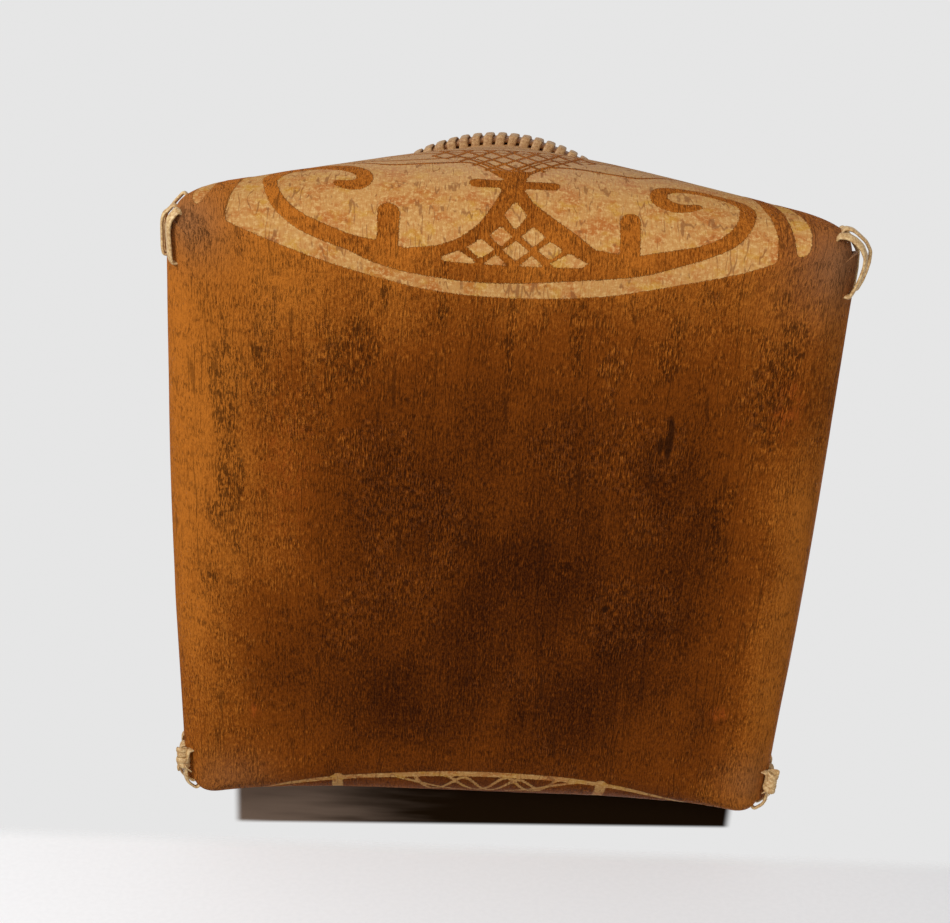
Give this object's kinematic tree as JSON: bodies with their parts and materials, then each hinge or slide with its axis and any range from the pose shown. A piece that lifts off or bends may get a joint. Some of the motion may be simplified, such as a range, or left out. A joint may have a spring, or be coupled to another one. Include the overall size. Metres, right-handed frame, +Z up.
{
  "type": "birch bark basket",
  "caption": "Open basket folded from one sheet of birch bark, square at the base and oval at the mouth, with root-sewn seams and a root-lashed rim of split-wood hoops.",
  "frame": {"origin": "centre of the base's underside, on the surface that the basket stands on", "axes": "+Z up through the mouth, -Y towards the front wall, +X towards the right end wall with its folded-up tab"},
  "size_m": [0.2544, 0.2678, 0.1456],
  "materials": {
    "bark": "satin, scraped pattern in paler inner bark",
    "root": "smooth peeled split root",
    "hoop": "split wood, satin"
  },
  "bodies": {
    "root": {"bark_sheet": "bark", "outer_hoop": "hoop", "inner_hoop": "hoop", "rim_root_1": "root", "rim_root_2": "root", "rim_root_3": "root", "rim_root_4": "root", "rim_root_5": "root", "rim_root_6": "root", "seam_root_front_right": "root", "seam_root_back_right": "root", "seam_root_back_left": "root", "seam_root_front_left": "root"}
  },
  "joints": []
}
